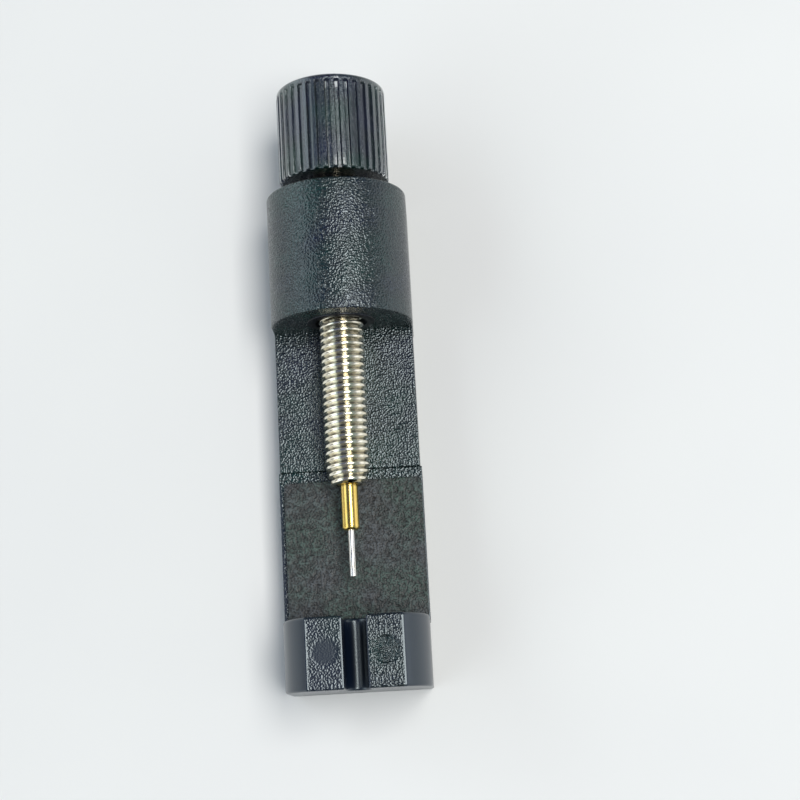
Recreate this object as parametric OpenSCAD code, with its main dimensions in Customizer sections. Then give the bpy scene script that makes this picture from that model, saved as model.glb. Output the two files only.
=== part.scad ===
// Pocket press for pushing pins out of watch bracelet links.
// Lies along Y: anvil at the -Y end, knob at the +Y end, open side facing +Z.
// All sizes in millimetres. Base at z = 0.

/* [Body] */
// width of the body, and height of its round top above the flat base
body_diameter = 16; // [15.5:0.1:18]
// length of the anvil block at the far end
anvil_length = 7.8; // [6:0.1:12]
// length of the lower bed, which carries the pad
low_bed_length = 16.9; // [14:0.1:24]
// length of the upper bed, under the screw
high_bed_length = 16.2; // [14:0.1:24]
// length of the round head that holds the screw
head_length = 15.1; // [12:0.1:20]
// height of the upper bed above the base
high_bed_height = 5.8; // [4:0.1:6.2]
// drop from the upper bed to the lower bed
bed_step = 0.3; // [0.1:0.05:1]
// amount by which each side of the lower bed stands out
low_bed_proud = 0.1; // [0:0.05:0.2]
// amount by which each side of the upper bed is set in
high_bed_inset = 0.08; // [0:0.01:0.2]
// rounding of the body's end edges
end_rounding = 0.3; // [0.2:0.05:0.6]
// bevel along the two edges of the base
base_bevel = 0.6; // [0.2:0.1:1.2]

/* [Anvil] */
// height of the two flat lands above the base
land_height = 14; // [13:0.1:14.8]
// width of the slot that receives the pushed-out pin
slot_width = 2.6; // [2:0.1:3.4]
// diameter of the shallow round marks on the lands
mark_diameter = 3; // [1:0.1:3.4]
// distance of the marks from the end of the anvil
mark_inset = 4; // [2.5:0.1:4.5]
// depth of the marks
mark_depth = 0.08; // [0.05:0.01:0.2]

/* [Pad] */
// thickness of the pad
pad_thickness = 1; // [0.5:0.1:1.4]
// bare strip of the lower bed between the step and the pad
pad_start_gap = 1.3; // [0.5:0.1:3]
// bare strip along the pad's left side
pad_left_gap = 0.6; // [0.2:0.05:1.5]
// bare strip along the pad's right side
pad_right_gap = 0.1; // [0.05:0.05:1.5]
// corner radius of the pad
pad_corner_radius = 0.5; // [0.2:0.1:2]

/* [Screw] */
// height of the screw's axis above the base
axis_height = 9.8; // [9.2:0.1:10.2]
// outside diameter of the screw's thread
thread_diameter = 5; // [4.4:0.1:5.6]
// thread pitch
thread_pitch = 0.8; // [0.6:0.1:1]
// depth of the thread
thread_depth = 0.45; // [0.2:0.05:0.5]
// distance from the head to the end of the screw's nose
screw_reach = 18.6; // [12:0.1:22]
// length of the tapered nose
nose_length = 2; // [1:0.1:6]
// diameter at the end of the nose
nose_diameter = 3.9; // [3.6:0.1:4.2]
// length of plain shank held in the knob
knob_grip = 8; // [4:0.5:9]
// radial gap between the screw and the bush
running_gap = 0.05; // [0.02:0.01:0.1]
// outside diameter of the threaded bush
bush_diameter = 7.6; // [6.6:0.1:8.4]
// amount by which the bush stands out of the head's face
bush_proud = 0.15; // [0:0.05:0.4]

/* [Tip] */
// diameter of the tip's threaded shank
shank_diameter = 2.5; // [2.2:0.1:2.6]
// length of the shank
shank_length = 4.2; // [3:0.1:6]
// diameter of the tip's sleeve
sleeve_diameter = 1.9; // [1.4:0.1:2.2]
// length of the sleeve
sleeve_length = 5; // [3:0.1:6]
// bevel at the end of the sleeve
sleeve_bevel = 0.2; // [0.1:0.05:0.4]
// diameter of the punch pin
pin_diameter = 0.72; // [0.5:0.02:1]
// length of pin standing out of the sleeve
pin_length = 5.1; // [2:0.1:5.5]
// length of pin held in the sleeve
pin_grip = 4; // [2:0.5:6]

/* [Knob] */
// diameter over the knob's ribs
knob_diameter = 12.5; // [11:0.1:14]
// length of the knob
knob_length = 11.1; // [10:0.1:16]
// gap between the knob and the head
knob_gap = 1.1; // [0.5:0.1:6]
// number of ribs
rib_count = 36; // [24:1:48]
// width of each groove between two ribs
groove_width = 0.5; // [0.2:0.05:0.55]
// depth of each groove
groove_depth = 0.35; // [0.2:0.05:0.6]
// plain band at the knob's outer end
band_length = 0.7; // [0.5:0.1:2]
// rounding of the knob's outer edge
knob_rounding = 0.4; // [0.2:0.1:0.5]

/* [Hidden] */
$fn = 96;
body_radius = body_diameter / 2;
thread_radius = thread_diameter / 2;
total_length = anvil_length + low_bed_length + high_bed_length + head_length + knob_gap + knob_length;
end_y = -round(total_length) / 2;
anvil_y = end_y + anvil_length;
step_y = anvil_y + low_bed_length;
head_y = step_y + high_bed_length;
head_back_y = head_y + head_length;
knob_y = head_back_y + knob_gap;
nose_y = head_y - screw_reach;
sleeve_end_y = nose_y - sleeve_length;
low_bed_height = high_bed_height - bed_step;
bore_gap = 0.04;
past = 1;
ring_count = floor((knob_y - nose_y) / thread_pitch);
crest_start = 0.35 * thread_pitch / 0.8;
crest_end = 0.45 * thread_pitch / 0.8;
root_start = 0.7 * thread_pitch / 0.8;
root_end = 0.1 * thread_pitch / 0.8;
BODY_COLOUR = [0.07, 0.07, 0.075];
STEEL = [0.72, 0.72, 0.7];

// places a shape made along +Z so that it runs along +Y from the given spot
module along_y(y, z) {
    translate([0, y, z])
        rotate([-90, 0, 0])
            children();
}

// solid with a round top and a flat base, with the top's end edges rounded
module round_top_block(y, length) {
    r = body_radius;
    e = end_rounding;
    along_y(y, r)
        rotate_extrude()
            union() {
                square([r - e, length]);
                translate([0, e])
                    square([r, length - 2 * e]);
                translate([r - e, e])
                    circle(e);
                translate([r - e, length - e])
                    circle(e);
            }
    translate([-r, y, 0])
        cube([2 * r, length, r]);
}

// beam that is upright at its sides, used for both beds
module bed_block(y, length, half_width, height) {
    translate([-half_width, y, 0])
        cube([2 * half_width, length, height]);
}

// cuts the bevels along the base
module base_bevels() {
    for (side = [-1, 1])
        translate([side * (body_radius + low_bed_proud), end_y - past, 0])
            rotate([0, 45, 0])
                translate([-base_bevel / sqrt(2), 0, -base_bevel / sqrt(2)])
                    cube([base_bevel * sqrt(2), head_back_y - end_y + 2 * past, base_bevel * sqrt(2)]);
}

module anvil_slot() {
    along_y(end_y - past, axis_height)
        cylinder(h = anvil_length + 2 * past, d = slot_width);
    translate([-slot_width / 2, end_y - past, axis_height])
        cube([slot_width, anvil_length + 2 * past, body_diameter]);
}

module land_marks() {
    land_edge = sqrt(body_radius * body_radius - pow(land_height - body_radius, 2));
    mark_x = (slot_width / 2 + land_edge) / 2;
    for (side = [-1, 1])
        translate([side * mark_x, end_y + mark_inset, land_height - mark_depth])
            cylinder(h = past, d = mark_diameter);
}

module body() {
    color(BODY_COLOUR)
        difference() {
            union() {
                difference() {
                    round_top_block(end_y, anvil_length);
                    translate([-body_diameter, end_y - past, land_height])
                        cube([2 * body_diameter, anvil_length + 2 * past, body_diameter]);
                }
                bed_block(anvil_y, low_bed_length, body_radius + low_bed_proud, low_bed_height);
                bed_block(step_y, high_bed_length, body_radius - high_bed_inset, high_bed_height);
                round_top_block(head_y, head_length);
            }
            base_bevels();
            anvil_slot();
            land_marks();
            along_y(head_y - past, axis_height)
                cylinder(h = head_length + 2 * past, d = bush_diameter);
        }
}

module threaded_bush() {
    color(STEEL)
        difference() {
            along_y(head_y - bush_proud, axis_height)
                cylinder(h = head_length + bush_proud, d = bush_diameter);
            along_y(head_y - past, axis_height)
                cylinder(h = head_length + 2 * past, r = thread_radius + running_gap);
        }
}

module bed_pad() {
    half = body_radius + low_bed_proud;
    x0 = -half + pad_left_gap;
    x1 = half - pad_right_gap;
    y1 = step_y - pad_start_gap;
    c = pad_corner_radius;
    color([0.16, 0.17, 0.165])
        translate([0, 0, low_bed_height]) {
            translate([x0 + c, anvil_y, 0])
                cube([x1 - x0 - 2 * c, y1 - anvil_y, pad_thickness]);
            translate([x0, anvil_y, 0])
                cube([x1 - x0, y1 - anvil_y - c, pad_thickness]);
            for (x = [x0 + c, x1 - c])
                translate([x, y1 - c, 0])
                    cylinder(h = pad_thickness, r = c);
        }
}

// crest radius at a distance from the end of the nose
function crest_at(s) = s < nose_length
    ? nose_diameter / 2 + (thread_radius - nose_diameter / 2) * s / nose_length
    : thread_radius;

// outline points of one thread ring
function ring(k) = let (s = k * thread_pitch) [
    [crest_at(s + root_end) - thread_depth, s + root_end],
    [crest_at(s + crest_start), s + crest_start],
    [crest_at(s + crest_end), s + crest_end],
    [crest_at(s + root_start) - thread_depth, s + root_start]
];

module press_screw() {
    thread_end = knob_y - nose_y;
    outline = concat(
        [[0, 0], [crest_at(0) - thread_depth, 0]],
        [for (k = [0 : ring_count - 1], p = ring(k)) p],
        [
            [thread_radius - thread_depth, thread_end],
            [thread_radius, thread_end],
            [thread_radius, thread_end + knob_grip],
            [0, thread_end + knob_grip]
        ]
    );
    color(STEEL)
        difference() {
            along_y(nose_y, axis_height)
                rotate_extrude()
                    polygon(outline);
            along_y(nose_y - past, axis_height)
                cylinder(h = shank_length + bore_gap + past, d = shank_diameter + 2 * bore_gap);
        }
}

module knob() {
    full = knob_diameter / 2;
    root = full - groove_depth;
    e = knob_rounding;
    color(BODY_COLOUR)
        along_y(knob_y, axis_height)
            difference() {
                rotate_extrude()
                    union() {
                        square([full, knob_length - e]);
                        square([full - e, knob_length]);
                        translate([full - e, knob_length - e])
                            circle(e);
                    }
                for (i = [0 : rib_count - 1])
                    rotate([0, 0, i * 360 / rib_count])
                        translate([root, -groove_width / 2, -past])
                            cube([groove_depth + past, groove_width, knob_length - band_length + past]);
                translate([0, 0, -past])
                    cylinder(h = knob_grip + past, r = thread_radius);
            }
}

module tip_holder() {
    r = sleeve_diameter / 2;
    outline = [
        [0, 0],
        [r - sleeve_bevel, 0],
        [r, sleeve_bevel],
        [r, sleeve_length],
        [shank_diameter / 2, sleeve_length],
        [shank_diameter / 2, sleeve_length + shank_length],
        [0, sleeve_length + shank_length]
    ];
    color([0.8, 0.62, 0.25])
        difference() {
            along_y(sleeve_end_y, axis_height)
                rotate_extrude()
                    polygon(outline);
            along_y(sleeve_end_y - past, axis_height)
                cylinder(h = pin_grip + past, d = pin_diameter);
        }
}

module punch_pin() {
    color([0.78, 0.78, 0.76])
        along_y(sleeve_end_y - pin_length, axis_height)
            cylinder(h = pin_length + pin_grip, d = pin_diameter);
}

body();
threaded_bush();
bed_pad();
press_screw();
knob();
tip_holder();
punch_pin();
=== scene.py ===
import math

import bmesh
import bpy
from mathutils import Matrix, Vector


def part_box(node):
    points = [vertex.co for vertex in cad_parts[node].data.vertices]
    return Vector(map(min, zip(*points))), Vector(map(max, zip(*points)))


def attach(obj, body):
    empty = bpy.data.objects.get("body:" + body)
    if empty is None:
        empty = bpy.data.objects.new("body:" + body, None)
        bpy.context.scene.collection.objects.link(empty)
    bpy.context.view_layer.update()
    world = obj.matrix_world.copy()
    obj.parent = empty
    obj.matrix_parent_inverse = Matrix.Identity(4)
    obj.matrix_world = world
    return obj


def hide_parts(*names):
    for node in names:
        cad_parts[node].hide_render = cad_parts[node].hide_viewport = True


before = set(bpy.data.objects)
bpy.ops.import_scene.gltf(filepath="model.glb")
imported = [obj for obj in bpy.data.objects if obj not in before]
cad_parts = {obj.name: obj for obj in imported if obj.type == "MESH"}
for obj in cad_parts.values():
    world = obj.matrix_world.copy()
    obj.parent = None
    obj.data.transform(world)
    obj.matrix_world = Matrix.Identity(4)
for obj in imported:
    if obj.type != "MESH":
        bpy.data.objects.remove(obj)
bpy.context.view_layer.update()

MM = 0.001

# ---------------------------------------------------------------- places, in millimetres, from the CAD model


def node_box(name):
    """The lowest and highest corners of a CAD node's box, in millimetres."""
    lo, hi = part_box(name)
    return [c / MM for c in lo], [c / MM for c in hi]


BODY_LO, BODY_HI = node_box("body")
BUSH_LO, BUSH_HI = node_box("threaded_bush")
PAD_LO, PAD_HI = node_box("bed_pad")
SCREW_LO, SCREW_HI = node_box("press_screw")
KNOB_LO, KNOB_HI = node_box("knob")
TIP_LO, TIP_HI = node_box("tip_holder")
PIN_LO, PIN_HI = node_box("punch_pin")

PAD_TO_STEP = 1.3
STEP_HEIGHT = 0.3
BUSH_PROUD = 0.15

AXIS_Z = (SCREW_LO[2] + SCREW_HI[2]) / 2
BODY_R = 8.0
END_Y = BODY_LO[1]
ANVIL_Y = PAD_LO[1]
STEP_Y = PAD_HI[1] + PAD_TO_STEP
HEAD_Y = BUSH_LO[1] + BUSH_PROUD
BACK_Y = BODY_HI[1]
LOW_Z = PAD_LO[2]
HIGH_Z = LOW_Z + STEP_HEIGHT
LAND_Z = 14.0
LAND_X = math.sqrt(BODY_R**2 - (LAND_Z - BODY_R) ** 2)
SLOT_R = 1.3
BUSH_R = (BUSH_HI[0] - BUSH_LO[0]) / 2
THREAD_R = (SCREW_HI[0] - SCREW_LO[0]) / 2
PITCH = 0.8
THREAD_DEPTH = 0.43
NOSE_R = 1.95
NOSE_LENGTH = 2.0
KNOB_R = (KNOB_HI[0] - KNOB_LO[0]) / 2
PIN_R = (PIN_HI[0] - PIN_LO[0]) / 2

# ---------------------------------------------------------------- numbers and points


def clamp(value, low=0.0):
    """The value, kept between low and 1."""
    return min(1.0, max(low, value))


def smooth_step(k):
    """0 up to k = 0, 1 from k = 1, and no kink between."""
    k = clamp(k)
    return k * k * (3 - 2 * k)


def spaced(a, b, step):
    """Even steps from a to b, each about that long, without the two ends."""
    n = max(1, round((b - a) / step))
    return [a + (b - a) * k / n for k in range(1, n)]


def quarter(steps):
    """Angles from 0 to a right angle, in radians."""
    return [math.pi / 2 * k / steps for k in range(steps + 1)]


def arc_points(cx, cz, r, a0, a1, steps):
    """Points on a circle from angle a0 to a1, in degrees."""
    angles = [math.radians(a0 + (a1 - a0) * k / steps) for k in range(steps + 1)]
    return [(cx + r * math.cos(a), cz + r * math.sin(a)) for a in angles]


def round_axis(radius, a, y):
    """A point at that radius from the screw's axis, turned by a radians from the top to the tool's right."""
    return radius * math.sin(a), y, AXIS_Z + radius * math.cos(a)


# ---------------------------------------------------------------- outlines

SHARPEST = 0.5
NO_EDGE = 1e-7
PARALLEL = 1e-3
SAME_PLACE = 1e-6
FOLD_PASSES = 20


def rounded(corners, steps=5, guard=0.05):
    """A closed outline from (x, z, radius) corners in counter-clockwise order.

    Radius 0 keeps the corner as it is. A point at the guard distance on either side of each arc keeps the
    smooth shading within the arc.
    """
    out = []
    for i, (x, z, r) in enumerate(corners):
        if r <= 0:
            out.append((x, z))
            continue
        corner = Vector((x, z))
        back = (Vector(corners[i - 1][:2]) - corner).normalized()
        ahead = (Vector(corners[(i + 1) % len(corners)][:2]) - corner).normalized()
        half = back.angle(ahead) / 2
        reach = r / math.tan(half)
        centre = corner + (back + ahead).normalized() * (r / math.sin(half))
        start = corner + back * reach
        end = corner + ahead * reach
        first = math.atan2(start.y - centre.y, start.x - centre.x)
        last = math.atan2(end.y - centre.y, end.x - centre.x)
        sweep = math.remainder(last - first, 2 * math.pi)
        out.append(tuple(start + back * guard))
        for k in range(steps + 1):
            a = first + sweep * k / steps
            out.append((centre.x + r * math.cos(a), centre.y + r * math.sin(a)))
        out.append(tuple(end + ahead * guard))
    return out


def dense(outline, step):
    """The outline with extra points, so that no edge is longer than step."""
    out = []
    for i, p in enumerate(outline):
        q = outline[(i + 1) % len(outline)]
        n = max(1, math.ceil(math.dist(p, q) / step - SAME_PLACE))
        for k in range(n):
            t = k / n
            out.append((p[0] + (q[0] - p[0]) * t, p[1] + (q[1] - p[1]) * t))
    return out


def inset(outline, d):
    """The outline moved inwards by d, with as many points as before."""
    if d == 0:
        return list(outline)
    n = len(outline)
    points = [Vector(p) for p in outline]
    ways = [(points[(i + 1) % n] - points[i]).normalized() for i in range(n)]
    out = []
    for i in range(n):
        before = Vector((-ways[i - 1].y, ways[i - 1].x))
        after = Vector((-ways[i].y, ways[i].x))
        middle = (before + after).normalized()
        out.append(points[i] + middle * (d / max(SHARPEST, middle.dot(before))))
    close_folds(ways, out)
    return [tuple(p) for p in out]


def close_folds(ways, out):
    """Closes the folds of an inset outline whose edges run along ways.

    Where the inset has used up short edges, their ends go to the point where the edges beside them meet.
    """
    n = len(out)
    for _ in range(FOLD_PASSES):
        kept = [i for i in range(n) if (out[(i + 1) % n] - out[i]).dot(ways[i]) > NO_EDGE]
        moved = False
        for before, after in zip(kept, kept[1:] + kept[:1]):
            used_up = (after - before - 1) % n
            if used_up == 0:
                continue
            meet = meeting_point(out[before], ways[before], out[(after + 1) % n], ways[after])
            for k in range(used_up + 1):
                i = (before + 1 + k) % n
                moved = moved or (out[i] - meet).length > SAME_PLACE
                out[i] = meet
        if not moved:
            break


def meeting_point(p, a, q, b):
    """Where the line through p along a meets the line through q along b. Midway if they are parallel."""
    cross = a.x * b.y - a.y * b.x
    if abs(cross) < PARALLEL:
        return (p + q) / 2
    gap = q - p
    return p + a * ((gap.x * b.y - gap.y * b.x) / cross)


# ---------------------------------------------------------------- solids

CAP_RIM = 0.06
EDGE_STEPS = 4
BORE_SEGMENTS = 64
SAME_VERTEX = 1e-5
NO_LENGTH_M = 1e-8


class Shell:
    """Vertices in millimetres and faces, gathered for one object."""

    def __init__(self):
        self.v = []
        self.f = []

    def ring(self, points):
        """Adds the points and returns their numbers."""
        start = len(self.v)
        self.v.extend(points)
        return list(range(start, len(self.v)))

    def bridge(self, a, b, closed=True):
        """Faces between two rows with the same number of points."""
        for i in range(len(a) if closed else len(a) - 1):
            j = (i + 1) % len(a)
            self.f.append((a[i], a[j], b[j], b[i]))

    def tube(self, rows, closed=True):
        """Faces from each row of points to the next."""
        for a, b in zip(rows, rows[1:]):
            self.bridge(a, b, closed)

    def fan(self, hub, rim):
        """Triangles from one point to a ring."""
        self.f.extend((hub, i, j) for i, j in zip(rim, rim[1:] + rim[:1]))

    def cap(self, ring, flip=False):
        """One face over a ring."""
        self.f.append(tuple(reversed(ring)) if flip else tuple(ring))

    def add(self, other):
        """Adds another shell's points and faces."""
        n = len(self.v)
        self.v.extend(other.v)
        self.f.extend(tuple(i + n for i in f) for f in other.f)


def prism_rows(y0, y1, e0, e1, stations):
    """The (inset, y) of each ring of a prism whose end edges are rounded by e0 and e1."""
    rows = [(e0 + CAP_RIM, y0)]
    rows += [(e0 * (1 - math.sin(a)), y0 + e0 * (1 - math.cos(a))) for a in quarter(EDGE_STEPS)]
    rows += [(0, y) for y in stations]
    rows += [(e1 * (1 - math.cos(a)), y1 - e1 * (1 - math.sin(a))) for a in quarter(EDGE_STEPS)]
    rows += [(e1 + CAP_RIM, y1)]
    return rows


def prism(outline, y0, y1, e0, e1, stations, shape=None, bore=None):
    """A solid with that outline from y0 to y1, its end edges rounded by e0 and e1.

    stations are the places of extra rings, shape moves a point, and bore is the radius of a hole right
    through on the screw's axis.
    """
    s = Shell()
    rings = []
    for d, y in prism_rows(y0, y1, e0, e1, stations):
        points = [(x, y, z) for x, z in inset(outline, d)]
        if shape:
            points = [shape(*p) for p in points]
        rings.append(s.ring(points))
    s.tube(rings)
    if bore is None:
        s.cap(rings[0])
        s.cap(rings[-1], flip=True)
    else:
        s.bridge(bored_cap(s, rings[0], bore, y0), bored_cap(s, rings[-1], bore, y1))
    return s


def bored_cap(s, ring, radius, y):
    """Fills the face between a ring and a hole on the screw's axis, and returns the hole's ring."""
    steps = zip(ring, ring[-1:] + ring[:-1])
    distinct = [i for i, last in steps if math.dist(s.v[i], s.v[last]) > SAME_VERTEX]
    circle = arc_points(0, AXIS_Z, radius, 0, 360, BORE_SEGMENTS)[:-1]
    hole = s.ring([(x, y, z) for x, z in circle])
    bm = bmesh.new()
    number = {}
    edges = []
    for loop in (distinct, hole):
        verts = [bm.verts.new(s.v[i]) for i in loop]
        edges += [bm.edges.new(pair) for pair in zip(verts, verts[1:] + verts[:1])]
        number.update(zip(verts, loop))
    bmesh.ops.triangle_fill(bm, use_beauty=True, edges=edges)
    s.f.extend(tuple(number[v] for v in f.verts) for f in bm.faces)
    bm.free()
    return hole


def lathe(profile, segments=64):
    """A solid of revolution about the screw's axis from (radius, y) points. Radius 0 closes an end."""
    s = Shell()
    rings = []
    for r, y in profile:
        if r <= 0:
            rings.append(s.ring([(0.0, y, AXIS_Z)]))
        else:
            circle = arc_points(0, AXIS_Z, r, 0, 360, segments)[:-1]
            rings.append(s.ring([(x, y, z) for x, z in circle]))
    for a, b in zip(rings, rings[1:]):
        if len(a) == 1:
            s.fan(a[0], b)
        elif len(b) == 1:
            s.fan(b[0], a)
        else:
            s.bridge(a, b)
    return s


def build(name, shell, material, body, node, sharp_deg=32, outward=True):
    """Makes a shell into an object that rides a body and replaces a CAD node."""
    mesh = bpy.data.meshes.new(name)
    mesh.from_pydata([(x * MM, y * MM, z * MM) for x, y, z in shell.v], [], shell.f)
    bm = bmesh.new()
    bm.from_mesh(mesh)
    bmesh.ops.dissolve_degenerate(bm, dist=NO_LENGTH_M, edges=bm.edges)
    if outward:
        bmesh.ops.recalc_face_normals(bm, faces=bm.faces)
    bmesh.ops.triangulate(bm, faces=[f for f in bm.faces if len(f.verts) > 4])
    bm.to_mesh(mesh)
    bm.free()
    mesh.polygons.foreach_set("use_smooth", [True] * len(mesh.polygons))
    mesh.set_sharp_from_angle(angle=math.radians(sharp_deg))
    mesh.materials.append(material)
    obj = bpy.data.objects.new(name, mesh)
    bpy.context.scene.collection.objects.link(obj)
    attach(obj, body)
    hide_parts(node)
    return obj


def store(obj, name, value_at):
    """Stores value_at(x, y, z), in millimetres, on each vertex for the object's material."""
    layer = obj.data.attributes.new(name, "FLOAT", "POINT")
    layer.data.foreach_set("value", [value_at(*(c / MM for c in v.co)) for v in obj.data.vertices])


# ---------------------------------------------------------------- material nodes

PIT_SMOOTHNESS = 0.6


def new_material(name):
    """A new material, its nodes, its shader and the object's coordinates in millimetres."""
    m = bpy.data.materials.new(name)
    m.use_nodes = True
    t = m.node_tree
    coord = t.nodes.new("ShaderNodeTexCoord")
    scale = t.nodes.new("ShaderNodeMapping")
    scale.inputs["Scale"].default_value = (1 / MM, 1 / MM, 1 / MM)
    t.links.new(coord.outputs["Object"], scale.inputs["Vector"])
    return m, t, t.nodes["Principled BSDF"], scale.outputs["Vector"]


def noise(t, vector, scale, detail, rough=0.5, stretch=None):
    """Noise of about scale cells a millimetre."""
    if stretch:
        mapping = t.nodes.new("ShaderNodeMapping")
        mapping.inputs["Scale"].default_value = stretch
        t.links.new(vector, mapping.inputs["Vector"])
        vector = mapping.outputs["Vector"]
    n = t.nodes.new("ShaderNodeTexNoise")
    n.inputs["Scale"].default_value = scale
    n.inputs["Detail"].default_value = detail
    n.inputs["Roughness"].default_value = rough
    t.links.new(vector, n.inputs["Vector"])
    return n.outputs["Fac"]


def pitted(t, vector, scale):
    """Round pits, of about scale cells a millimetre."""
    n = t.nodes.new("ShaderNodeTexVoronoi")
    n.feature = "SMOOTH_F1"
    n.inputs["Scale"].default_value = scale
    n.inputs["Smoothness"].default_value = PIT_SMOOTHNESS
    t.links.new(vector, n.inputs["Vector"])
    return n.outputs["Distance"]


def attribute(t, name):
    """A value that store() has put on the vertices."""
    n = t.nodes.new("ShaderNodeAttribute")
    n.attribute_name = name
    return n.outputs["Fac"]


def ramp(t, value, stops):
    """A colour ramp from (position, number or colour) stops."""
    r = t.nodes.new("ShaderNodeValToRGB")
    elements = r.color_ramp.elements
    while len(elements) > 1:
        elements.remove(elements[-1])
    for k, (position, c) in enumerate(stops):
        e = elements[0] if k == 0 else elements.new(position)
        e.position = position
        e.color = (c, c, c, 1) if isinstance(c, (int, float)) else (*c, 1)
    t.links.new(value, r.inputs["Fac"])
    return r.outputs["Color"]


def mix(t, a, b, factor, mode="MIX"):
    """A mix of two colours. a, b and factor are sockets or plain values."""
    m = t.nodes.new("ShaderNodeMix")
    m.data_type = "RGBA"
    m.blend_type = mode
    for name, value in (("Factor", factor), ("A", a), ("B", b)):
        if isinstance(value, bpy.types.NodeSocket):
            t.links.new(value, m.inputs[name])
        elif isinstance(value, (int, float)):
            m.inputs[name].default_value = value
        else:
            m.inputs[name].default_value = (*value, 1)
    return m.outputs["Result"]


def bump(t, heights, strength=None):
    """A chain of bump nodes from (height, distance in millimetres) pairs. strength is a socket, if given."""
    normal = None
    for height, distance in heights:
        b = t.nodes.new("ShaderNodeBump")
        b.inputs["Strength"].default_value = 1.0
        b.inputs["Distance"].default_value = distance * MM
        t.links.new(height, b.inputs["Height"])
        if strength is not None:
            t.links.new(strength, b.inputs["Strength"])
        if normal is not None:
            t.links.new(normal, b.inputs["Normal"])
        normal = b.outputs["Normal"]
    return normal


# ---------------------------------------------------------------- materials

# Black plastic with a weak cast that drifts from navy to teal.
BODY_CAST = [
    (0.36, (0.006, 0.009, 0.026)),
    (0.48, (0.005, 0.013, 0.016)),
    (0.62, (0.003, 0.025, 0.022)),
]
KNOB_CAST = [
    (0.36, (0.006, 0.008, 0.030)),
    (0.50, (0.006, 0.010, 0.016)),
    (0.64, (0.003, 0.024, 0.020)),
]
POLISHED_COLOUR = (0.003, 0.007, 0.019)
POLISHED_ROUGHNESS = (0.28, 0.28, 0.28)
GRAIN_CELLS = 5.0
GRAIN_HEIGHT = 0.09
PIT_CELLS = 3.9
PIT_HEIGHT = 0.03

PAD_CAST = [(0.4, (0.060, 0.098, 0.085)), (0.6, (0.078, 0.088, 0.098))]
SCUFF_COLOUR = (0.055, 0.060, 0.058)

TARNISH = (0.90, 0.82, 0.66)
# Painted shade: the screw's colour darkens towards the thread's roots, for the shade between the crests.
GROOVE_SHADE_COLOUR = (0.10, 0.09, 0.065)
GROOVE_SHADE_BY_DEPTH = [(0.55, 0.0), (0.95, 0.35), (0.999, 0.95)]
ROUND_THE_AXIS = (1.0, 8.0, 1.0)
ALONG_THE_AXIS = (4.0, 0.4, 4.0)


def textured_plastic():
    """Black moulded plastic with a spark-eroded grain, smooth where the mould was polished."""
    m, t, shader, v = new_material("black_textured_plastic")
    grain = noise(t, v, GRAIN_CELLS, 0.0)
    pits = pitted(t, v, PIT_CELLS)
    grainy = attribute(t, "grain")
    colour = ramp(t, noise(t, v, 0.16, 2.0), BODY_CAST)
    colour = mix(t, colour, ramp(t, grain, [(0.40, 0.25), (0.66, 1.0)]), grainy, "MULTIPLY")
    colour = mix(t, POLISHED_COLOUR, colour, grainy)
    rough = mix(t, POLISHED_ROUGHNESS, ramp(t, grain, [(0.35, 0.34), (0.65, 0.18)]), grainy)
    t.links.new(colour, shader.inputs["Base Color"])
    t.links.new(rough, shader.inputs["Roughness"])
    shader.inputs["Specular IOR Level"].default_value = 0.95
    shader.inputs["Specular Tint"].default_value = (0.83, 0.945, 0.985, 1)
    t.links.new(bump(t, [(pits, PIT_HEIGHT), (grain, GRAIN_HEIGHT)], grainy), shader.inputs["Normal"])
    return m


def knob_plastic():
    """Black moulded plastic, glossier, with faint streaks along the ribs."""
    m, t, shader, v = new_material("black_satin_plastic")
    streak = noise(t, v, 2.2, 3.0, 0.6, stretch=(3.0, 0.25, 3.0))
    grain = noise(t, v, 5.5, 2.0)
    colour = ramp(t, noise(t, v, 0.22, 1.0), KNOB_CAST)
    colour = mix(t, colour, ramp(t, streak, [(0.3, 0.4), (0.7, 1.0)]), 0.8, "MULTIPLY")
    t.links.new(colour, shader.inputs["Base Color"])
    t.links.new(ramp(t, streak, [(0.3, 0.12), (0.7, 0.26)]), shader.inputs["Roughness"])
    shader.inputs["Specular IOR Level"].default_value = 1.0
    shader.inputs["Specular Tint"].default_value = (0.84, 0.95, 1.0, 1)
    shader.inputs["Coat Weight"].default_value = 1.0
    shader.inputs["Coat Roughness"].default_value = 0.12
    t.links.new(bump(t, [(streak, 0.04), (grain, 0.06)]), shader.inputs["Normal"])
    return m


def pad_rubber():
    """Dark grey matte rubber with a faint mottle and light scuffs."""
    m, t, shader, v = new_material("grey_rubber")
    mottle = noise(t, v, 1.5, 2.0)
    fine = noise(t, v, 4.5, 0.0)
    scuff = noise(t, v, 1.6, 3.0, 0.6, stretch=(0.6, 3.0, 1.0))
    colour = ramp(t, noise(t, v, 0.2, 2.0), PAD_CAST)
    colour = mix(t, colour, ramp(t, mottle, [(0.38, 0.3), (0.62, 1.0)]), 1.0, "MULTIPLY")
    colour = mix(t, colour, ramp(t, fine, [(0.35, 0.22), (0.62, 1.0)]), 1.0, "MULTIPLY")
    colour = mix(t, colour, SCUFF_COLOUR, ramp(t, scuff, [(0.62, 0.0), (0.78, 0.4)]))
    t.links.new(colour, shader.inputs["Base Color"])
    t.links.new(ramp(t, fine, [(0.3, 0.42), (0.7, 0.62)]), shader.inputs["Roughness"])
    t.links.new(bump(t, [(mottle, 0.16), (fine, 0.10)]), shader.inputs["Normal"])
    return m


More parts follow.
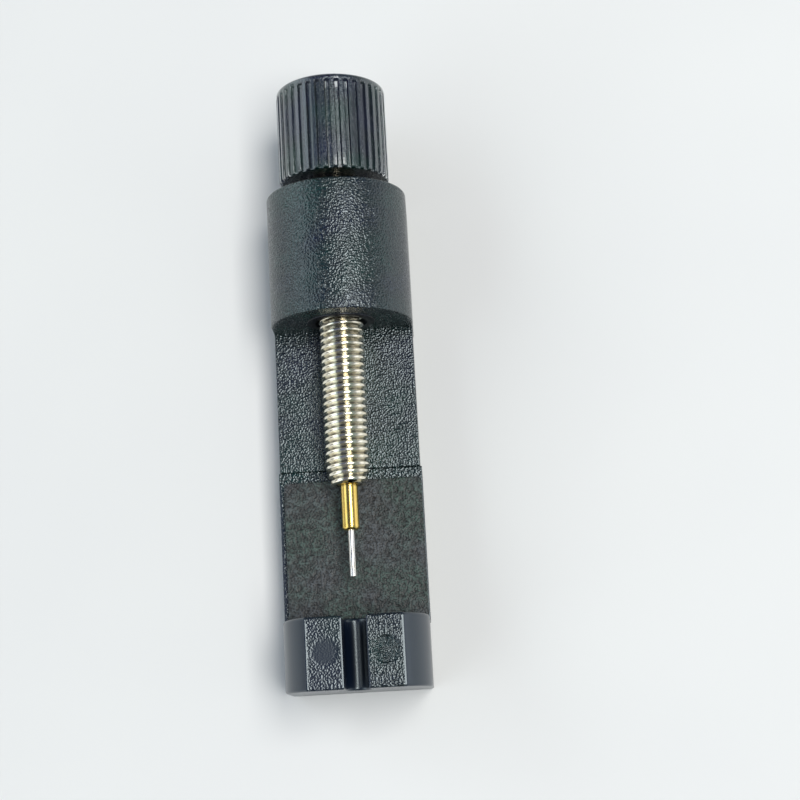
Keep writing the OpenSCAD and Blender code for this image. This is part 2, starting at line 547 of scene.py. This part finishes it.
def turned_metal(name, colour, rough, marks=ROUND_THE_AXIS, groove_shade=False):
    """Metal with fine machining marks and slight tarnish, and painted shade darkening a thread's grooves."""
    m, t, shader, v = new_material(name)
    turned = noise(t, v, 3.0, 3.0, 0.6, stretch=marks)
    stain = noise(t, v, 0.9, 3.0, 0.6)
    tarnished = tuple(c * k for c, k in zip(colour, TARNISH))
    base = mix(t, colour, tarnished, ramp(t, stain, [(0.4, 0.0), (0.75, 0.7)]))
    if groove_shade:
        # Painted shade: the colour darkens towards the thread's roots and over the stretch next to the knob.
        base = mix(t, base, GROOVE_SHADE_COLOUR, ramp(t, attribute(t, "groove"), GROOVE_SHADE_BY_DEPTH))
    t.links.new(base, shader.inputs["Base Color"])
    t.links.new(ramp(t, turned, [(0.3, rough * 0.8), (0.7, rough * 1.35)]), shader.inputs["Roughness"])
    t.links.new(bump(t, [(turned, 0.006)]), shader.inputs["Normal"])
    shader.inputs["Metallic"].default_value = 1.0
    return m


PLASTIC = textured_plastic()
KNOB_PLASTIC = knob_plastic()
RUBBER = pad_rubber()
SCREW_STEEL = turned_metal("plated_screw_steel", (0.86, 0.83, 0.72), 0.17, groove_shade=True)
BUSH_STEEL = turned_metal("blackened_bush_steel", (0.035, 0.038, 0.046), 0.35)
PIN_STEEL = turned_metal("hard_pin_steel", (0.74, 0.73, 0.71), 0.2, ALONG_THE_AXIS)
BRASS = turned_metal("turned_brass", (0.83, 0.60, 0.17), 0.17)

# ---------------------------------------------------------------- body

FOOT_BEVEL = 0.5
FOOT_R = 0.15
BED_EDGE_R = 0.1
UPPER_BED_HALF = BODY_R - 0.08
LOWER_BED_HALF = BODY_R + 0.1
# Each bed runs this far into its neighbour.
OVERLAP = 0.4

# The lands' long edges: a worn bevel, and a raised burr on the left land's outer edge.
WORN_DEPTH = 0.03
WORN_WIDTH = 0.16
WORN_R = 0.06
BURR = [(0.28, 0.0, 0), (0.12, 0.03, 0.02), (0.0, 0.01, 0.04)]

# The round moulding marks pressed into the lands.
MARK_X = (SLOT_R + LAND_X) / 2
MARK_Y = END_Y + 4.0
MARK_R = 1.5
MARK_EDGE = 0.16
LEFT_MARK_DEPTH = 0.02
RIGHT_MARK_DEPTH = 0.14

HEAD_FRONT_EDGE = 0.12
HEAD_BACK_EDGE = 0.25
ANVIL_FRONT_EDGE = 0.25
ANVIL_BACK_EDGE = 0.3
STEP_EDGE = 0.08
HIDDEN_EDGE = 0.05

LONG_STATION = 2.0
BED_STATION = 0.3
ANVIL_STATION = 0.12


def sharp(points):
    """Corners without rounding."""
    return [(x, z, 0) for x, z in points]


def section(half, top):
    """Corners of the body's section: a bevelled foot, and the top's corners from right to left."""
    foot = [(FOOT_BEVEL - half, 0, FOOT_R), (half - FOOT_BEVEL, 0, FOOT_R), (half, FOOT_BEVEL, FOOT_R)]
    return foot + top + [(-half, FOOT_BEVEL, FOOT_R)]


def head_outline():
    """A round top on a flat foot."""
    return rounded(section(BODY_R, sharp(arc_points(0, BODY_R, BODY_R, 0, 180, 96))))


def bed_outline(half, height):
    """A flat bed."""
    return rounded(section(half, [(half, height, BED_EDGE_R), (-half, height, BED_EDGE_R)]))


def anvil_outline():
    """Round shoulders and two flat lands with the slot between them."""
    land_angle = math.degrees(math.asin((LAND_Z - BODY_R) / BODY_R))
    shoulder = arc_points(0, BODY_R, BODY_R, 0, land_angle, 32)[:-1]
    right_land = [
        (LAND_X, LAND_Z - WORN_DEPTH, WORN_R),
        (LAND_X - WORN_WIDTH, LAND_Z, 0),
        (SLOT_R, LAND_Z, BED_EDGE_R),
    ]
    slot = sharp(arc_points(0, AXIS_Z, SLOT_R, 0, -180, 32))
    left_land = [(-SLOT_R, LAND_Z - WORN_DEPTH, WORN_R), (-SLOT_R - WORN_WIDTH, LAND_Z, 0)]
    left_land += [(-LAND_X + along, LAND_Z + up, r) for along, up, r in BURR]
    left_shoulder = [(-x, z) for x, z in reversed(shoulder)]
    top = sharp(shoulder) + right_land + slot + left_land + sharp(left_shoulder)
    return dense(rounded(section(BODY_R, top), guard=0.03), ANVIL_STATION)


def mark_distance(x, y):
    """How far a point is from the middle of the nearer moulding mark."""
    return math.hypot(abs(x) - MARK_X, y - MARK_Y)


def mark_lands(x, y, z):
    """Presses the shallow moulding marks into the lands."""
    if z < LAND_Z - 0.01:
        return x, y, z
    depth = LEFT_MARK_DEPTH if x < 0 else RIGHT_MARK_DEPTH
    return x, y, z - depth * smooth_step((MARK_R - mark_distance(x, y)) / MARK_EDGE)


def grain_at(x, y, z):
    """How strongly the mould's grain shows at a point, from 0 where the mould was polished.

    The anvil's shoulders, slot and edges are polished. The strips beside the pad are kept nearly smooth,
    as painted shade for the pad's shadow. The left mark is fainter than its land, and the right mark is
    rougher.
    """
    if y > ANVIL_Y + 0.1:
        # Painted shade: the strips beside the pad get little grain and the polished colour, so that they
        # read dark like the pad's shadow.
        beside_pad = abs(x) > PAD_HI[0] - 0.2 and y < PAD_HI[1] and LOW_Z - 0.15 < z < HIGH_Z
        return 0.1 if beside_pad else 1.0
    if z < LAND_Z - 0.15 or not SLOT_R + 0.2 <= abs(x) <= LAND_X - 0.2:
        return 0.0
    if x < 0:
        return 0.65 * clamp((mark_distance(x, y) - 0.8) / 1.1, 0.15)
    return 1.0 + 0.8 * clamp((1.6 - mark_distance(x, y)) / 0.6)


def make_body():
    """The moulding: head, upper bed, lower bed and anvil."""
    s = Shell()
    stations = spaced(HEAD_Y, BACK_Y, LONG_STATION)
    s.add(prism(head_outline(), HEAD_Y, BACK_Y, HEAD_FRONT_EDGE, HEAD_BACK_EDGE, stations, bore=BUSH_R))
    upper = bed_outline(UPPER_BED_HALF, HIGH_Z)
    stations = spaced(STEP_Y, HEAD_Y, LONG_STATION)
    s.add(prism(upper, STEP_Y, HEAD_Y + OVERLAP, STEP_EDGE, HIDDEN_EDGE, stations))
    lower = dense(bed_outline(LOWER_BED_HALF, LOW_Z), BED_STATION)
    stations = spaced(ANVIL_Y, STEP_Y, BED_STATION)
    s.add(prism(lower, ANVIL_Y - OVERLAP, STEP_Y, HIDDEN_EDGE, HIDDEN_EDGE, stations))
    stations = spaced(END_Y + ANVIL_FRONT_EDGE, ANVIL_Y - ANVIL_BACK_EDGE, ANVIL_STATION)
    anvil = anvil_outline()
    s.add(prism(anvil, END_Y, ANVIL_Y, ANVIL_FRONT_EDGE, ANVIL_BACK_EDGE, stations, shape=mark_lands))
    body = build("body_moulding", s, PLASTIC, "frame", "body")
    store(body, "grain", grain_at)


# ---------------------------------------------------------------- pad

PAD_CLEARANCE = 0.02
PAD_FRONT_R = 0.3
PAD_BACK_R = 0.5
PAD_EDGE = 0.16
PAD_STEP = 0.4


def make_pad():
    """A flat pad with a softly rounded top edge."""
    x0, _, z0 = PAD_LO
    x1, y1, z1 = PAD_HI
    y0 = PAD_LO[1] + PAD_CLEARANCE
    corners = [(x0, y0, PAD_FRONT_R), (x1, y0, PAD_FRONT_R), (x1, y1, PAD_BACK_R), (x0, y1, PAD_BACK_R)]
    plan = dense(rounded(corners, steps=6), PAD_STEP)
    rows = [(0.0, z0)]
    rows += [(PAD_EDGE * (1 - math.cos(a)), z1 - PAD_EDGE * (1 - math.sin(a))) for a in quarter(EDGE_STEPS)]
    rows += [(PAD_EDGE + rim, z1) for rim in (0.06, 0.3)]
    s = Shell()
    rings = [s.ring([(x, y, z) for x, y in inset(plan, d)]) for d, z in rows]
    s.tube(rings)
    s.cap(rings[-1], flip=True)
    s.cap(rings[0])
    build("bed_pad_rubber", s, RUBBER, "frame", "bed_pad")


# ---------------------------------------------------------------- screw and bush

STEPS_A_TURN = 56
# Painted shade: this much of the screw next to the knob is darkened all over, for the dark gap between the
# knob and the head.
SHADED_STRETCH = 1.3
SOCKET_R = 1.29
SOCKET_DEPTH = 4.2
SOCKET_MOUTH = 0.08
STUB_INSET = 0.42

# Half of the thread's form, as (share of the pitch, share of the depth) from the groove to the crest.
FORM_HALF = [(0.0, 1.0), (0.06, 0.96), (0.11, 0.82), (0.275, 0.16), (0.32, 0.045), (0.37, 0.0)]
THREAD_FORM = FORM_HALF + [(1 - f, d) for f, d in reversed(FORM_HALF[1:])]

BUSH_PLAY = 0.05
BUSH_RIDGE = 0.2


def crest(along):
    """The thread's outer radius at that distance from the tip of the nose."""
    if along < NOSE_LENGTH:
        return NOSE_R + (THREAD_R - NOSE_R) * max(0.0, along) / NOSE_LENGTH
    return THREAD_R


def groove_shade_at(x, y, z):
    """How much painted shade darkens the screw: 0 on the thread's crest, 1 at its root and all over the
    stretch next to the knob, in the dark gap under it.
    """
    if y > KNOB_LO[1] - SHADED_STRETCH:
        return 1.0
    return clamp((crest(y - SCREW_LO[1]) - math.hypot(x, z - AXIS_Z)) / THREAD_DEPTH)


def helix(y0, length):
    """The skin of the thread, a strip wound round the axis with each turn joined to the next."""
    s = Shell()
    rows = []
    for i in range((math.ceil(length / PITCH) + 1) * STEPS_A_TURN + 1):
        turn = i / STEPS_A_TURN
        row = []
        for share, depth in THREAD_FORM:
            along = min(max((turn - 1 + share) * PITCH, 0.0), length)
            row.append(round_axis(crest(along) - THREAD_DEPTH * depth, 2 * math.pi * turn, y0 + along))
        rows.append(s.ring(row))
    s.tube(rows, closed=False)
    for i in range(len(rows) - STEPS_A_TURN - 1):
        j = i + STEPS_A_TURN
        s.f.append((rows[i][-1], rows[i + 1][-1], rows[j + 1][0], rows[j][0]))
    return s


def make_screw():
    """The threaded rod, with a socket in its nose and a plain stub inside the knob."""
    y0 = SCREW_LO[1]
    length = KNOB_LO[1] - y0
    face_r = NOSE_R - THREAD_DEPTH + 0.02
    nose = [(SOCKET_R, y0 + SOCKET_DEPTH), (SOCKET_R, y0 + SOCKET_MOUTH), (SOCKET_R + SOCKET_MOUTH, y0)]
    nose += [(face_r - 0.05, y0), (face_r, y0 + 0.05), (face_r, y0 + 0.6)]
    stub_r = THREAD_R - STUB_INSET
    s = helix(y0, length)
    s.add(lathe(nose))
    s.add(lathe([(stub_r, y0 + length - 0.6), (stub_r, y0 + length + 4.0)]))
    name = "press_screw_thread"
    screw = build(name, s, SCREW_STEEL, "screw", "press_screw", sharp_deg=50, outward=False)
    # The "groove" value sets the painted shade in the screw's colour.
    store(screw, "groove", groove_shade_at)


def make_bush():
    """A bush with a bevelled mouth and fine ridges in its bore."""
    y0, y1 = BUSH_LO[1], BUSH_HI[1]
    bore_r = THREAD_R + BUSH_PLAY
    front = [(bore_r, y0 + 0.45), (bore_r + 0.32, y0 + 0.05), (bore_r + 0.38, y0)]
    rim = [(BUSH_R - 0.12, y0), (BUSH_R - 0.04, y0 + 0.04), (BUSH_R, y0 + 0.12)]
    back = [(BUSH_R, y1), (bore_r + 0.3, y1), (bore_r, y1 - 0.3)]
    ridges = []
    for k in range(1, int((y1 - y0 - 0.8) / BUSH_RIDGE)):
        ridges.append((bore_r if k % 2 else bore_r - 0.02, y1 - 0.3 - k * BUSH_RIDGE))
    profile = front + rim + back + ridges + front[:1]
    build("bush_ring", lathe(profile, 96), BUSH_STEEL, "frame", "threaded_bush")


# ---------------------------------------------------------------- knob

RIBS = 36
RIB_PITCH = 10
RIB_DEPTH = 0.35
RIB_CROWN = 0.02
KNOB_FRONT_EDGE = 0.32
KNOB_BACK_EDGE = 0.4
# The grooves start to fade this far from the knob's end, over this length.
RIB_FADE_FROM = 0.95
RIB_FADE = 0.35
SOCKET_IN_KNOB = 6

# One side of a rib pitch, as (degrees from the groove's middle, share of the groove's depth). A negative
# share is the rib's slight crown. RIB_ROW has all the ribs, in radians.
HALF_RIB = [(0.0, 1.0), (1.2, 1.0), (1.9, 0.96), (2.25, 0.78), (2.55, 0.38), (2.85, 0.1), (3.2, 0.0)]
HALF_RIB += [(4.1, -0.02)]
RIB = HALF_RIB + [(5.0, -0.02)] + [(RIB_PITCH - a, g) for a, g in reversed(HALF_RIB[1:])]
RIB_ROW = [(math.radians(k * RIB_PITCH + a), g) for k in range(RIBS) for a, g in RIB]

# The end face, as (radius, depth below the rim): the edge of a dish, then a gate mark in its middle.
DISH_R = KNOB_R - 1.2
DISH = [
    (DISH_R + 0.12, 0.0),
    (DISH_R + 0.04, 0.015),
    (DISH_R - 0.04, 0.045),
    (DISH_R - 0.12, 0.1),
    (DISH_R - 0.3, 0.12),
]
GATE_MARK = [(0.85, 0.12), (0.78, 0.11), (0.72, 0.05), (0.62, 0.04)]


def knob_rows():
    """The (y, radius, groove depth) of each ring, from the front face to the middle of the end face."""
    y0, y1 = KNOB_LO[1], KNOB_HI[1]
    rows = [(y0, KNOB_R - RIB_DEPTH - 0.3, 0), (y0, KNOB_R - RIB_DEPTH - 0.12, 0)]
    for a in quarter(5):
        lost = KNOB_FRONT_EDGE * (1 - math.sin(a))
        y = y0 + KNOB_FRONT_EDGE * (1 - math.cos(a))
        rows.append((y, KNOB_R - lost - 0.01, max(0.0, RIB_DEPTH - lost)))
    fade_y = y1 - RIB_FADE_FROM
    rows += [(y, KNOB_R, RIB_DEPTH) for y in spaced(y0 + KNOB_FRONT_EDGE, fade_y, 0.8)]
    rows += [(fade_y + RIB_FADE * k / 6, KNOB_R, RIB_DEPTH * (1 - smooth_step(k / 6))) for k in range(7)]
    for a in quarter(5):
        y = y1 - KNOB_BACK_EDGE + KNOB_BACK_EDGE * math.sin(a)
        rows.append((y, KNOB_R - KNOB_BACK_EDGE * (1 - math.cos(a)), 0))
    rows.append((y1, KNOB_R - KNOB_BACK_EDGE - 0.08, 0))
    rows += [(y1 - drop, radius, 0) for radius, drop in DISH + GATE_MARK]
    return rows


def make_knob():
    """The ribbed knob, with the socket that the screw fills."""
    s = Shell()
    rings = []
    for y, radius, groove in knob_rows():
        radii = [(a, radius - groove * max(0.0, g) + RIB_CROWN * min(0.0, g)) for a, g in RIB_ROW]
        rings.append(s.ring([round_axis(r, a, y) for a, r in radii]))
    s.tube(rings)
    s.cap(rings[-1])
    mouth = s.ring([round_axis(THREAD_R, a, KNOB_LO[1]) for a, _ in RIB_ROW])
    bottom = s.ring([round_axis(THREAD_R, a, KNOB_LO[1] + SOCKET_IN_KNOB) for a, _ in RIB_ROW])
    s.bridge(mouth, rings[0])
    s.bridge(bottom, mouth)
    s.cap(bottom)
    build("ribbed_knob", s, KNOB_PLASTIC, "screw", "knob", sharp_deg=40)


# ---------------------------------------------------------------- tip

SLEEVE_R = 0.95
COLLAR_R = 1.22
SHANK_R = 1.25
PIN_HOLE_R = 0.37
PIN_HOLE_DEPTH = 0.5


def make_tip():
    """The brass sleeve, with a hole for the pin in its end and a shank in the screw's nose."""
    y0, y1 = TIP_LO[1], TIP_HI[1]
    nose = SCREW_LO[1]
    profile = [(PIN_HOLE_R, y0 + PIN_HOLE_DEPTH), (PIN_HOLE_R, y0 + 0.03), (PIN_HOLE_R + 0.05, y0)]
    profile += [(SLEEVE_R - 0.26, y0), (SLEEVE_R - 0.2, y0 + 0.02), (SLEEVE_R - 0.03, y0 + 0.2)]
    profile += [(SLEEVE_R, y0 + 0.27)]
    profile += [(SLEEVE_R, y) for y in spaced(y0 + 0.27, nose - 0.1, 0.5)]
    profile += [(SLEEVE_R, nose - 0.02), (SLEEVE_R + 0.05, nose + 0.02), (COLLAR_R, nose + 0.03)]
    profile += [(SHANK_R, nose + 0.08), (SHANK_R, y1 - 0.2), (SHANK_R - 0.2, y1), (0, y1)]
    build("brass_tip_holder", lathe(profile), BRASS, "tip", "tip_holder")


def make_pin():
    """The steel pin, with a slightly rounded end."""
    y0 = PIN_LO[1]
    y1 = TIP_LO[1] + PIN_HOLE_DEPTH
    profile = [(0, y0), (PIN_R - 0.08, y0), (PIN_R - 0.05, y0 + 0.01), (PIN_R - 0.01, y0 + 0.05)]
    profile += [(PIN_R, y0 + 0.1)]
    profile += [(PIN_R, y) for y in spaced(y0 + 0.1, y1, 0.6)]
    profile += [(PIN_R, y1), (0, y1)]
    build("punch_pin_wire", lathe(profile, 40), PIN_STEEL, "tip", "punch_pin")


make_body()
make_pad()
make_screw()
make_bush()
make_knob()
make_tip()
make_pin()

# ---------------------------------------------------------------- floor, light and camera, in metres

FLOOR_HALF = 1.2
FLOOR_DROP = 0.00002
FLOOR_COLOURS = [(0.3, (0.80, 0.80, 0.80)), (0.7, (0.83, 0.83, 0.825))]

# The sky's brightness across the tool, by (x + 1) / 2: 0 is its left horizon, 0.5 overhead, 1 its right.
SKY = [
    (0.0, 0.35),
    (0.035, 0.5),
    (0.05, 1.9),
    (0.18, (1.7, 2.0, 2.0)),
    (0.22, 0.3),
    (0.3, 0.2),
    (0.45, 0.16),
    (0.75, (0.16, 0.25, 0.24)),
    (0.93, 0.4),
    (0.96, 1.3),
    (1.0, 1.5),
]
SKY_TINT = (0.96, 0.98, 1.03)
SKY_STRENGTH = 0.93

# A dark oval in the sky, which the flat faces reflect.
OVAL_X = -0.32
OVAL_Y = 0.2
OVAL_HALF_X = 0.40
OVAL_HALF_Y = 0.5
OVAL_COLOUR = (0.11, 0.13, 0.22)

KEY_TILT = math.radians(17)
KEY_DIRECTION = (math.sin(KEY_TILT), -0.03, math.cos(KEY_TILT))
KEY_DISTANCE = 0.9
KEY_SIZE = (0.33, 0.74)
KEY_WATTS = 6.5
KEY_COLOUR = (1.0, 0.98, 0.95)

# The camera, fitted to the tool's outlines in the photograph.
FRAME_PIXELS = 800
FOCAL_PIXELS = 1621.3
SENSOR_MM = 36.0
CAMERA_RIGHT = (0.9981, -0.0545, -0.0291)
CAMERA_BACK = (0.0173, -0.2056, 0.9785)
CAMERA_PLACE_MM = (9.258, -39.575, 186.35)


def make_floor():
    """A plain pale floor just under the tool."""
    w = FLOOR_HALF
    mesh = bpy.data.meshes.new("floor")
    mesh.from_pydata([(-w, -w, 0), (w, -w, 0), (w, w, 0), (-w, w, 0)], [], [(0, 1, 2, 3)])
    m, t, shader, v = new_material("pale_floor")
    t.links.new(ramp(t, noise(t, v, 0.02, 2.0), FLOOR_COLOURS), shader.inputs["Base Color"])
    shader.inputs["Roughness"].default_value = 0.75
    shader.inputs["Specular IOR Level"].default_value = 0.2
    mesh.materials.append(m)
    floor = bpy.data.objects.new("floor", mesh)
    bpy.context.scene.collection.objects.link(floor)
    floor.location.z = -FLOOR_DROP


def make_sky():
    """Soft studio light from all round, with bright bands low on either side."""
    world = bpy.data.worlds.new("studio")
    world.use_nodes = True
    t = world.node_tree
    background = t.nodes["Background"]
    coord = t.nodes.new("ShaderNodeTexCoord")
    split = t.nodes.new("ShaderNodeSeparateXYZ")
    t.links.new(coord.outputs["Generated"], split.inputs["Vector"])
    across = t.nodes.new("ShaderNodeMapRange")
    across.inputs["From Min"].default_value = -1.0
    t.links.new(split.outputs["X"], across.inputs["Value"])
    place = t.nodes.new("ShaderNodeMapping")
    place.inputs["Location"].default_value = (-OVAL_X / OVAL_HALF_X, -OVAL_Y / OVAL_HALF_Y, 0)
    place.inputs["Scale"].default_value = (1 / OVAL_HALF_X, 1 / OVAL_HALF_Y, 0)
    t.links.new(coord.outputs["Generated"], place.inputs["Vector"])
    from_middle = t.nodes.new("ShaderNodeVectorMath")
    from_middle.operation = "LENGTH"
    t.links.new(place.outputs["Vector"], from_middle.inputs[0])
    oval = ramp(t, from_middle.outputs["Value"], [(0.75, 1.0), (1.0, 0.0)])
    sky = mix(t, ramp(t, across.outputs["Result"], SKY), OVAL_COLOUR, oval)
    t.links.new(mix(t, sky, SKY_TINT, 1.0, "MULTIPLY"), background.inputs["Color"])
    background.inputs["Strength"].default_value = SKY_STRENGTH
    bpy.context.scene.world = world


def make_key():
    """A long soft panel to the right of overhead, for the highlights along the tool."""
    light = bpy.data.lights.new("key_panel", "AREA")
    light.shape = "RECTANGLE"
    light.size, light.size_y = KEY_SIZE
    light.energy = KEY_WATTS
    light.color = KEY_COLOUR
    panel = bpy.data.objects.new("key_panel", light)
    bpy.context.scene.collection.objects.link(panel)
    z = Vector(KEY_DIRECTION).normalized()
    y = (Vector((0, 1, 0)) - z * z.y).normalized()
    turn = Matrix((y.cross(z), y, z)).transposed().to_4x4()
    panel.matrix_world = Matrix.Translation(z * KEY_DISTANCE) @ turn


def make_camera():
    """The photograph's viewpoint. The plain view transform keeps black plastic black on the white floor."""
    lens = bpy.data.cameras.new("camera")
    lens.sensor_fit = "HORIZONTAL"
    lens.sensor_width = SENSOR_MM
    lens.lens = SENSOR_MM * FOCAL_PIXELS / FRAME_PIXELS
    lens.clip_start = 0.01
    lens.clip_end = 10
    camera = bpy.data.objects.new("camera", lens)
    bpy.context.scene.collection.objects.link(camera)
    back = Vector(CAMERA_BACK).normalized()
    right = Vector(CAMERA_RIGHT)
    right = (right - back * right.dot(back)).normalized()
    turn = Matrix((right, back.cross(right), back)).transposed().to_4x4()
    camera.matrix_world = Matrix.Translation(Vector(CAMERA_PLACE_MM) * MM) @ turn
    bpy.context.scene.camera = camera
    bpy.context.scene.view_settings.view_transform = "Standard"


make_floor()
make_sky()
make_key()
make_camera()
